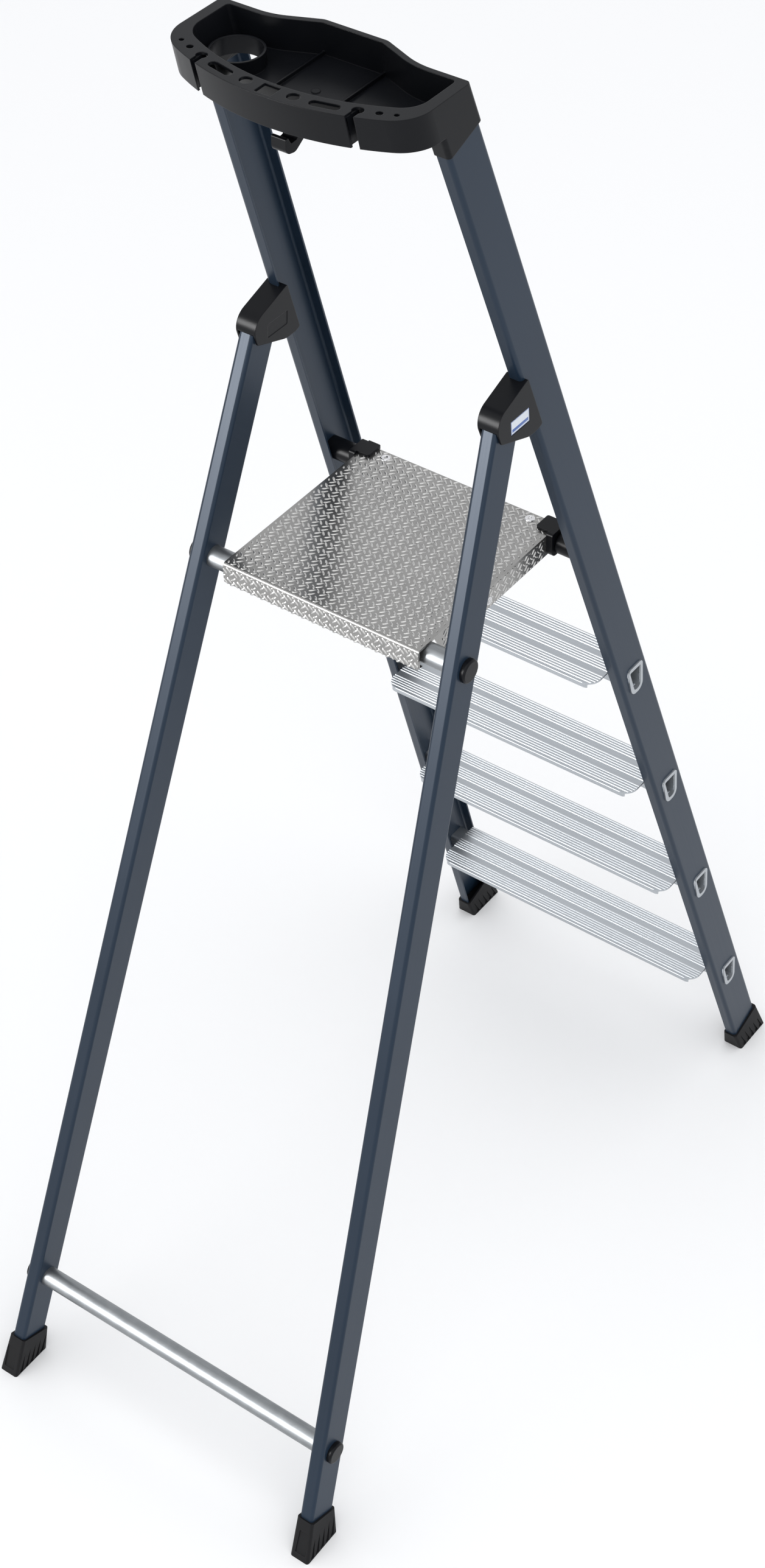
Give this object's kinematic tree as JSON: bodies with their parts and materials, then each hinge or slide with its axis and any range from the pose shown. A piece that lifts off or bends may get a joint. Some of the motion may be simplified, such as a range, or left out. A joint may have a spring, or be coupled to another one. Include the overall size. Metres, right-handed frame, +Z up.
{
  "type": "platform step ladder",
  "caption": "Folding platform step ladder: ribbed treads between slate-blue channel rails, chequered folding platform, splayed rear legs and a black tool tray with a bucket hook.",
  "frame": {"origin": "middle of the footprint, on the floor, with the ladder open", "axes": "+Z up; +Y away from the climber, towards the rear legs; +X to the climber's right"},
  "size_m": [0.4956, 1.0852, 1.738],
  "materials": {
    "slate_coat": "satin slate-blue coat over extruded aluminium",
    "tread_alloy": "satin mill finish, ribbed",
    "chequer_alloy": "bright satin sheet with raised bars",
    "zinc_tube": "zinc plated, semi-bright",
    "bright_steel": "bright turned",
    "foot_rubber": "matte black",
    "black_plastic": "satin black, lightly grained"
  },
  "bodies": {
    "front_frame": {"bucket_hook": "black_plastic", "front_foot_left": "foot_rubber", "front_foot_right": "foot_rubber", "front_rail_left": "slate_coat", "front_rail_right": "slate_coat", "hinge_bracket_left": "black_plastic", "hinge_bracket_right": "black_plastic", "hinge_pin_left": "bright_steel", "hinge_pin_right": "bright_steel", "platform_barrel_left": "black_plastic", "platform_barrel_right": "black_plastic", "platform_journal_left": "bright_steel", "platform_journal_right": "bright_steel", "tool_tray": "black_plastic", "tray_plug_left": "black_plastic", "tray_plug_right": "black_plastic", "tread_1": "tread_alloy", "tread_2": "tread_alloy", "tread_3": "tread_alloy", "tread_4": "tread_alloy"},
    "rear_frame": {"leg_plug_left": "black_plastic", "leg_plug_right": "black_plastic", "lower_cross_tube": "zinc_tube", "lower_tube_cap_left": "black_plastic", "lower_tube_cap_right": "black_plastic", "rear_foot_left": "foot_rubber", "rear_foot_right": "foot_rubber", "rear_leg_left": "slate_coat", "rear_leg_right": "slate_coat", "upper_cross_tube": "zinc_tube", "upper_tube_cap_left": "black_plastic", "upper_tube_cap_right": "black_plastic"},
    "platform": {"flange_rivet_left": "bright_steel", "flange_rivet_right": "bright_steel", "journal_block_left": "black_plastic", "journal_block_right": "black_plastic", "platform_plate": "chequer_alloy", "platform_rivet_left": "bright_steel", "platform_rivet_right": "bright_steel"}
  },
  "joints": [
    {"name": "rear_frame_fold", "type": "hinge", "parent": "front_frame", "child": "rear_frame", "pos_m": [0, 0.02178, 1.345], "axis": [-1, 0, 0], "range_deg": [0, 39]},
    {"name": "platform_tip", "type": "hinge", "parent": "front_frame", "child": "platform", "pos_m": [0, -0.12182, 1.088], "axis": [1, 0, 0], "range_deg": [0, 70.2]}
  ],
  "couplings": [
    {"joint": "platform_tip", "follows": "rear_frame_fold", "ratio": 1.8}
  ]
}
